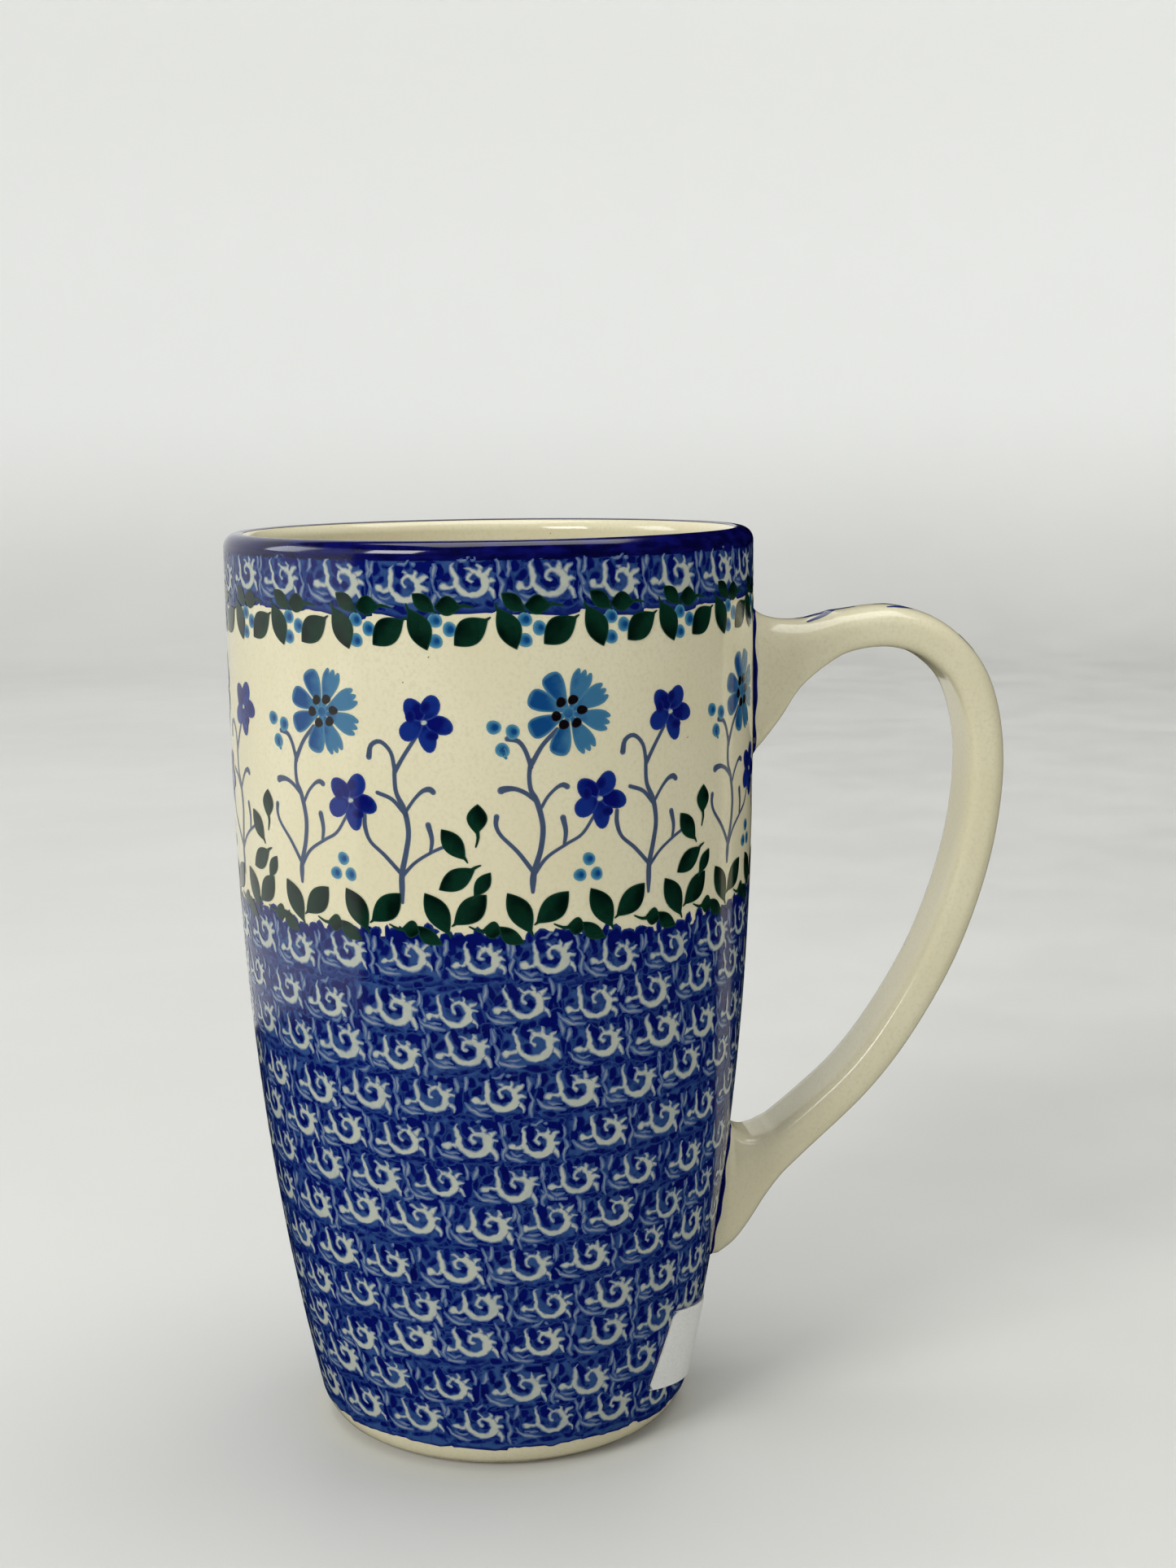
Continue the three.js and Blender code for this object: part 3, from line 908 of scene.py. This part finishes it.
def add_stamps():
    """Rows of stamped scrolls: one under the rim, and the field from the flowers to the foot."""
    # Each of the stamp's three layers lies over the one before
    wash, pools, scrolls, high_scrolls = Paint(0.03), Paint(0.052), Paint(0.074), Paint(0.074)
    kinds = [scroll_motif(rng.uniform(-0.28, 0.28, 6)) for _ in range(FIGURE_KINDS)]
    blocks = [fill([edge_of_stamp(seed, 7.6)], 0.5) for seed in range(BLOCK_KINDS)]
    low_blocks = [fill([edge_of_stamp(seed, 5.9)], 0.5) for seed in range(BLOCK_KINDS)]
    pool_kinds = [fill(some_pools(STAMP_POOLS), 0.38) for _ in range(POOL_KINDS)]
    ragged_kinds = [
        fill(some_pools(STAMP_POOLS + field_edge_pools()), 0.38) for _ in range(EDGE_POOL_KINDS)
    ]

    def stamp(angle, height, turn, size, layer, order, ragged_top):
        under = low_blocks if ragged_top else blocks
        shades = ragged_kinds if ragged_top else pool_kinds
        over = order * STAMP_STEP
        place = (angle, height, turn, size)
        block = under[rng.integers(BLOCK_KINDS)]
        wash.add(block, *place, rng.uniform(0, 0.25), over)
        shade = shades[rng.integers(len(shades))]
        pools.add(shade, *place, rng.uniform(0, 0.4), over, STAMP_WAVER)
        figure, lines = kinds[rng.integers(FIGURE_KINDS)]
        tone = rng.uniform(0, 0.3)
        layer.add(lines, *place, tone, over, STAMP_WAVER)
        layer.add(figure, *place, tone, over + STAMP_STEP / 2, STAMP_WAVER)

    def row(count, first, height, layer, sway, parity, ragged_top=False):
        step = 360.0 / count
        for i in range(count):
            angle = first + i * step + rng.uniform(-0.7, 0.7)
            rise = sway * math.sin(math.radians(2 * (first + i * step)) + first)
            rise += rng.uniform(-0.35, 0.35)
            turn = rng.uniform(-6, 6) - 1.0
            size = rng.uniform(0.95, 1.08)
            stamp(angle, height + rise, turn, size, layer, 2 * parity + i % 2, ragged_top)

    row(TOP_ROW_COUNT, -25.4, TOP_ROW_FOOT, high_scrolls, 0.0, 0)
    low, high = along_at(FIELD_BOTTOM), along_at(FIELD_TOP)
    rows = int(round((high - low) / STAMP_ROW))
    pitch = (high - low) / rows
    for k in range(rows):
        height = float(np.interp(low + k * pitch + 1.1, ALONG_TABLE, HEIGHT_TABLE))
        around = 2 * math.pi * float(outer_radius(height + 3))
        count = int(round(around / STAMP_WIDTH))
        row(count, rng.uniform(0, 15), height, scrolls, 0.35, k % 2, k == rows - 1)
    add_foot_strip(wash)
    wash.piece("stamp_wash", "stamp_wash", "cobalt_paint")
    pools.piece("stamp_pools", "stamp_pools", "cobalt_paint")
    scrolls.piece("stamp_scrolls", "stamp_scrolls", "clear_glaze")
    high_scrolls.piece("stamp_scrolls_under_rim", "stamp_scrolls", "clear_glaze")


# For each paint of the flowers: its lift, its piece's name, its material and its slot
FLOWER_PAINTS = {
    "stem": (0.03, "flower_stems", "stem_slate", "slate_paint"),
    "leaf": (0.09, "leaves", "leaf_green", "green_paint"),
    "petal": (0.06, "big_flower_petals", "petal_blue", "blue_paint"),
    "berry": (0.06, "berries", "berry_blue", "blue_paint"),
    "small": (0.06, "small_flowers", "small_flower_cobalt", "cobalt_paint"),
    "small_deep": (0.075, "small_flower_overlaps", "small_flower_overlap", "cobalt_paint"),
    "heart": (0.09, "small_flower_hearts", "stamp_scrolls", "clear_glaze"),
    "dot": (0.085, "big_flower_dots", "dot_black", "black_paint"),
}
paints = {key: Paint(values[0]) for key, values in FLOWER_PAINTS.items()}


def put(key, shapes, place, soft=0.3, tone=0.0, extra=0.0):
    """Fills shapes with one of the flowers' paints. Its tone is a number or a formula of (x, y)."""
    patch = fill(shapes, soft)
    if callable(tone):
        tone = np.clip(tone(*patch[0].T), 0, 1)
    paints[key].add(patch, *place, tone=tone, extra=extra)


def big_petal(middle, turn, toothed):
    """One long petal; its tip is round, or notched in three like a cornflower's."""
    t = np.linspace(0, 1, 12)
    left = columns(0.6 + 4.9 * t, 0.32 + 1.24 * np.sin(math.pi * t ** 1.15 * 0.56) ** 1.3)
    tip = np.linspace(1, -1, 13)[1:-1]
    swell = 0.95 * (1 - tip ** 2) ** 0.5
    if toothed:
        swell = 0.35 + 0.75 * np.abs(np.cos(tip * math.pi * 1.5)) ** 0.8 - 0.3 * tip ** 2
    end, half = left[-1]
    shape = np.vstack([left, columns(end + swell, tip * half), (left * (1, -1))[::-1]])
    guides = np.vstack([left[1::2] * (1, share) for share in (-0.6, 0, 0.6)])
    return spun(shape, turn) + middle, spun(guides, turn) + middle


def add_big_flower(x, y, place):
    for k in range(8):
        turn = -20 + 45 * k + rng.uniform(-4, 4)
        aside = 3.6 * math.cos(math.radians(turn))
        left = 0.5 - 0.5 * math.cos(math.radians(turn))

        def shade(across, up):
            return left * 0.75 - (across - x - aside) * 0.35 * (0.5 + 0.5 * left)

        put("petal", [big_petal((x, y), turn, left < 0.55)], place, 0.35, shade)
    put("petal", [blob(x - 0.1, y - 0.1, 0.85, 0.85)], place, tone=0.5, extra=0.004)
    for k in range(6):
        turn = math.radians(9 + 60 * k + rng.uniform(-8, 8))
        dot = blob(x + 1.98 * math.cos(turn), y + 1.9 * math.sin(turn), 0.8, 0.72, 40 * k, 0.06, k)
        put("dot", [dot], place, 0.25)


def add_small_flower(x, y, place, size=1.0):
    first = -80

    def out_from(degrees, reach):
        turn = math.radians(degrees)
        return x + reach * size * math.cos(turn), y + reach * size * math.sin(turn)

    turns = [first + 72 * k + rng.uniform(-6, 6) for k in range(5)]
    for k, turn in enumerate(turns):
        middle = out_from(turn, 2.3)
        petal = blob(*middle, 2.0 * size, 1.42 * size, turn, 0.05, k, 18, (0.75, 0.4))

        def shade(across, up):
            near = np.hypot(across - x, up - y) / (4.2 * size)
            return 0.55 * (k % 2) + 0.5 - 0.9 * near

        put("small", [petal], place, 0.45, shade, 0.003 * k)
    for k in (0, 2, 3):
        spot = blob(*out_from(first + 72 * k + 20, 2.2), 1.0, 0.8, 30 * k)
        put("small_deep", [spot], place, 0.6)
    put("heart", [blob(x, y, 0.5 * size, 0.42 * size, 30, 0.08, 1, 9)], place, 0.2)


def add_berries(spots, place, size=1.0):
    for x, y in spots:
        berry = blob(x, y, 1.0 * size, 1.02 * size, 20, 0.04, x, 16, (0.7, 0.35))

        def shade(across, up):
            return 1.1 - np.hypot(across - x - 0.25, up - y) / (0.75 * size)

        put("berry", [berry], place, 0.5, shade)


def add_leaves(place, rows):
    """Leaves from (start, end, half width, stalk, bend), darker at their start and left side."""
    for start, end, half_width, *more in rows:
        way = np.subtract(end, start)
        length = (way @ way) ** 0.5

        def shade(x, y):
            spots = columns(x, y) - start
            across = spots @ np.array([-way[1], way[0]]) / length / half_width
            return 0.75 - 0.7 * (spots @ way / (way @ way)) + 0.35 * across

        put("leaf", leaf(start, end, half_width, *more), place, 0.4, shade)


def add_stem(lines, place):
    """Branches from (x, y, half width) points, joined into one drawn plant."""
    put("stem", [stroke(line, 0.5, 0.15, 4) for line in lines], place, 0.2)


def add_plant_with_big_flower(place, clear):
    lines = [
        [(0, -0.4, 0.3), (0.05, 1.2, 0.5), (0.25, 2.7, 0.46), (1.2, 5.7, 0.42), (1.6, 8.5, 0.42),
         (1.4, 10.6, 0.42), (0.7, 13.1, 0.44), (-0.1, 14.7, 0.36), (-0.3, 16.8, 0.34), (0, 18.9, 0.4)],
        [(0.9, 12.8, 0.34), (-0.8, 14.2, 0.34), (-2.4, 14.9, 0.36), (-3.8, 14.9, 0.5), (-4.4, 14.7, 0.56)],
        [(1.4, 12.0, 0.28), (2.4, 13.6, 0.26), (3.8, 14.9, 0.28), (4.7, 15.2, 0.4), (5.3, 14.9, 0.44)],
        [(0.1, 2.6, 0.36), (-2.1, 5.6, 0.32), (-4.5, 8.1, 0.3), (-5.2, 9.6, 0.34), (-5.1, 10.9, 0.42)],
        [(0.1, 2.0, 0.34), (2.1, 4.6, 0.28), (5, 6.4, 0.26), (7.5, 7.8, 0.26), (9.4, 10.4, 0.26)],
        [(4.7, 6.2, 0.26), (5, 8.3, 0.36), (4.6, 10.4, 0.46)],
    ]
    if clear:
        lines.append([(0, 18.3, 0.4), (1.7, 21.1, 0.34), (3.9, 23.3, 0.36)])
        lines.append([(0, 18.0, 0.36), (-0.8, 20.4, 0.34), (-1.8, 21.8, 0.36), (-3.4, 22.2, 0.4)])
    add_stem(lines, place)
    if clear:
        add_big_flower(5.7, 25.7, place)
        add_berries([(-5.3, 23.9), (-2.6, 23.2), (-4.1, 20.6)], place, 1.05)
        put("berry", [stroke([(-4.1, 20.4, 0.6), (-3.6, 19.4, 0.2)])], place, tone=0.8)
    add_small_flower(10.3, 12.8, place, 1.02)
    add_berries([(8.5, 4.0), (7.1, 1.7), (9.7, 1.7)], place, 0.98)


def add_plant_with_small_flower(place, clear):
    lines = [
        [(0, -1.4, 0.26), (0, 0.6, 0.46), (0.1, 3, 0.46), (0.8, 6, 0.42), (1.3, 9.1, 0.4),
         (0.8, 12.3, 0.44), (-0.4, 14.9, 0.36), (-0.6, 17.4, 0.34), (-0.5, 18.8, 0.38)],
        [(0.7, 12.0, 0.34), (-1.1, 13.9, 0.32), (-3.4, 14.8, 0.32)],
        [(1.0, 12.2, 0.28), (2.4, 14.1, 0.26), (3.7, 15.3, 0.34), (4.7, 15.5, 0.46), (5.2, 15.1, 0.42)],
        [(0, 2.9, 0.34), (-2.5, 5.5, 0.32), (-4.8, 7.5, 0.3), (-5.6, 9.6, 0.38), (-5.6, 11.4, 0.34)],
        [(0.1, 2.5, 0.3), (2.1, 4.6, 0.26), (4.6, 6.2, 0.26), (7.0, 7.3, 0.26)],
        [(4.5, 6.1, 0.24), (4.8, 8.1, 0.34), (4.3, 10.3, 0.44)],
    ]
    if clear:
        lines.append([(-0.5, 18.0, 0.36), (0.9, 20.3, 0.32), (2.9, 23.2, 0.3)])
        lines.append([(-0.5, 18.0, 0.34), (-1.1, 20.8, 0.32), (-2.7, 22.3, 0.34), (-4.2, 21.7, 0.38),
                      (-4.6, 20.0, 0.48)])
    add_stem(lines, place)
    if clear:
        add_small_flower(4.1, 25.2, place)
    add_leaves(place, [
        ((11.6, 13.4), (11.3, 9.0), 1.5, 1.9), ((6.2, 9.7), (9.6, 5.2), 1.5, 0.5),
        ((5.6, 0.7), (11.0, 3.9), 1.6, 0.9), ((13.2, 3.3), (10.7, -0.3), 1.1, 0.4),
    ])


def add_upper_garland(place):
    """Paired leaves, three berries, and small leaves that lie over the stamped row."""
    add_leaves(place, [
        ((0.1, -2.9), (-2.6, 3.1), 1.75, 0.7, -0.3), ((4.0, -2.2), (8.9, 1.5), 2.0, 0.4, 0.2),
        ((-2.0, 5.2), (1.3, 2.5), 1.2, 0.2), ((1.2, 3.3), (5.1, 3.2), 1.45, 1.8, 0.2),
    ])
    add_berries([(1.3, 1.35), (1.3, -1.6), (3.4, 0.1)], place, 1.05)


def add_lower_garland(place):
    """Paired leaves above the stamped field, and small ones that lie over its upper edge."""
    add_leaves(place, [
        ((-3.4, 3.6), (0.1, -2.6), 1.75, 0.5, 0.2), ((5.7, 3.4), (0.8, -1.1), 1.85, 0.3, 0.2),
        ((-4.3, -2.4), (-7.0, -1.8), 1.35, 2.0, -0.2), ((-4.7, -1.4), (-0.9, -4.1), 1.15, 0.0, -0.3),
    ])


def add_flowers():
    """The plants and garlands all round the cup."""

    def near(first, turn):
        return first[0] + turn + rng.uniform(-0.5, 0.5), first[1]

    def clear_of_handle(angle):
        return abs((angle - HANDLE_ANGLE + 180) % 360 - 180) > ROOT_CLEAR

    for k in range(PLANT_COUNT):
        turn = k * 360.0 / PLANT_COUNT
        place = near(BIG_PLANT, turn)
        add_plant_with_big_flower(place, clear_of_handle(place[0] + 6))
        place = near(SMALL_PLANT, turn)
        add_plant_with_small_flower(place, clear_of_handle(place[0] + 3))
    for k in range(GARLAND_COUNT):
        turn = k * 360.0 / GARLAND_COUNT
        add_upper_garland(near(UPPER_GARLAND, turn))
        add_lower_garland(near(LOWER_GARLAND, turn))
    for key, (_, *kind) in FLOWER_PAINTS.items():
        paints[key].piece(*kind)


# ---- Label ----


def rounded_outline(wide, tall, corner, steps=6):
    """Points round a rectangle with round corners and a few points along each side."""
    points = []
    for k, (x, y) in enumerate(((1, 1), (-1, 1), (-1, -1), (1, -1))):
        middle = np.array([x * (wide / 2 - corner), y * (tall / 2 - corner)])
        for t in np.radians(90 * k + np.linspace(0, 90, steps)):
            points.append(middle + corner * np.array([math.cos(t), math.sin(t)]))
    return smooth_line([*points, points[0]], 1.0)[:-1]


def add_label():
    """The blank paper sticker, pressed round the curve of the wall."""
    outline = rounded_outline(LABEL_WIDTH, LABEL_HEIGHT, LABEL_CORNER)
    across = np.linspace(-0.45, 0.45, 22) * LABEL_WIDTH
    up = np.linspace(-0.42, 0.42, 12) * LABEL_HEIGHT
    grid = np.stack(np.meshgrid(across, up), axis=2).reshape(-1, 2)
    flat, triangles, edge = fill([(outline, grid)], 0.3)
    sheets = []
    for lift in (LABEL_GAP, LABEL_GAP + LABEL_THICKNESS):
        sheet = Paint(lift)
        sheet.add((flat, triangles, edge), LABEL_ANGLE, LABEL_MIDDLE, turn=LABEL_TILT)
        sheets.append(sheet.parts[0][0])
    points, count = np.vstack(sheets), len(flat)
    faces = [list(t + count) for t in triangles] + [list(t[::-1]) for t in triangles]
    faces += [[a, b, b + count, a + count] for a, b in rim_sides(triangles)]
    faces = facing_out(points, faces)
    make_piece("paper_sticker", points, faces, "label_paper", ["paper_label"])


# ---- Scene ----


FLOOR_RADIUS = 1200.0
FLOOR_BEND = 500.0
FLOOR_SEGMENTS = 96
# The part of the floor that the glaze reflects: between two directions, beyond a distance
MIRRORED_TURNS = (80, 205)
MIRRORED_BEYOND = 240.0


def floor_material():
    finish = Finish("table", 0.5, 0.3)
    cloudy = finish.between(finish.noise(260.0, 3.0), 0.3, 0.7)
    table = finish.mix(cloudy, srgb(213, 213, 210), srgb(219, 219, 216))
    rising = finish.between(finish.height(), 0.0, 0.2)
    finish.colour(finish.mix(rising, table, srgb(244, 245, 244)))
    finish.gloss(40.0, 0.45, 0.55)
    return finish.material


def add_floor():
    """A pale table that curves up into a plain backdrop all round.

    Only the side behind and to the left shows in the glaze; the rest of the room is dark to it.
    """
    profile = [(r, 0.0) for r in (0.01, 60, 120, 180, 240, 300, 400, 600, 900, FLOOR_RADIUS)]
    for t in np.linspace(0, math.pi / 2, 16)[1:]:
        rise = FLOOR_BEND * (1 - math.cos(t))
        profile.append((FLOOR_RADIUS + FLOOR_BEND * math.sin(t), rise))
    profile.append((FLOOR_RADIUS + FLOOR_BEND, 1700))
    points, faces = lathe(profile, FLOOR_SEGMENTS)
    last_ring = len(points) - FLOOR_SEGMENTS
    # The lathe closes its profile, so the faces from the last ring to the first are left out
    faces = [f[::-1] for f in faces if not (min(f) < FLOOR_SEGMENTS and max(f) >= last_ring)]
    points = np.array(points)
    material = floor_material()
    shown, dark = [], []
    for face in faces:
        x, y, _ = points[face].mean(axis=0)
        turn = math.degrees(math.atan2(y, x)) % 360
        facing = MIRRORED_TURNS[0] < turn < MIRRORED_TURNS[1]
        (shown if facing and math.hypot(x, y) > MIRRORED_BEYOND else dark).append(face)
    for name, part, mirrored in (("backdrop", shown, True), ("table", dark, False)):
        item = new_mesh(name, points, part, material)
        item.visible_glossy = mirrored


def add_light(name, place, aim, size, power, colour, shine_only=False):
    lamp = bpy.data.lights.new(name, "AREA")
    lamp.shape = "RECTANGLE"
    lamp.size, lamp.size_y = size
    lamp.energy = power
    lamp.color = colour
    item = bpy.data.objects.new(name, lamp)
    item.location = place
    item.rotation_euler = (Vector(aim) - Vector(place)).to_track_quat("-Z", "Y").to_euler()
    item.visible_camera = False
    item.visible_diffuse = not shine_only
    bpy.context.scene.collection.objects.link(item)


def add_lights():
    middle = (AXIS_X * MM, 0, HEIGHT * MM / 2)
    cool, warm, plain = (0.93, 0.98, 1.0), (1.0, 1.0, 0.97), (1.0, 1.0, 0.98)
    add_light("window_left", (-1.60, 0.44, 0.66), middle, (0.68, 1.25), 12.0, cool, True)
    add_light("overhead", (0.15, 0.25, 1.6), (0.1, 0.5, 0), (1.4, 1.2), 15.0, plain)
    add_light("front_left", (-0.92, -0.80, 0.80), middle, (0.5, 0.5), 8.8, warm)
    world = bpy.data.worlds.new("room")
    bpy.context.scene.world = world
    world.use_nodes = True
    background = world.node_tree.nodes["Background"]
    background.inputs["Color"].default_value = (0.98, 0.98, 1.0, 1)
    background.inputs["Strength"].default_value = 0.28
    world.cycles_visibility.glossy = False
    bpy.context.scene.view_settings.view_transform = "Standard"


# The viewpoint: millimetres from the cup's axis and above the table, degrees, and lens in mm
CAMERA_DISTANCE = 353.7
CAMERA_HEIGHT = 161.0
CAMERA_TURN = 2.475
CAMERA_PITCH = 9.10
CAMERA_ROLL = -0.71
CAMERA_LENS = 50.4


def add_camera():
    """The photograph's viewpoint: just above the rim, with the handle to the right."""
    aside = math.radians(FRONT + 90)
    heading = -aside + math.radians(CAMERA_TURN)
    tilt = math.radians(90 - CAMERA_PITCH)
    turned = Matrix.Rotation(-heading, 4, "Z") @ Matrix.Rotation(tilt, 4, "X")
    turned = turned @ Matrix.Rotation(math.radians(CAMERA_ROLL), 4, "Z")
    data = bpy.data.cameras.new("photo_view")
    data.sensor_width = 36
    data.lens = CAMERA_LENS
    data.clip_start, data.clip_end = 0.01, 20
    camera = bpy.data.objects.new("photo_view", data)
    off_x, off_y = CAMERA_DISTANCE * math.sin(aside), -CAMERA_DISTANCE * math.cos(aside)
    spot = Vector((AXIS_X + off_x, off_y, CAMERA_HEIGHT)) * MM
    camera.matrix_world = Matrix.Translation(spot) @ turned
    bpy.context.scene.collection.objects.link(camera)
    bpy.context.scene.camera = camera


add_camera()
add_floor()
add_lights()
add_cup()
strap, strap_rings = add_handle()
add_root_lines(strap_rings)
add_spine_strokes(strap)
add_stamps()
add_flowers()
add_label()
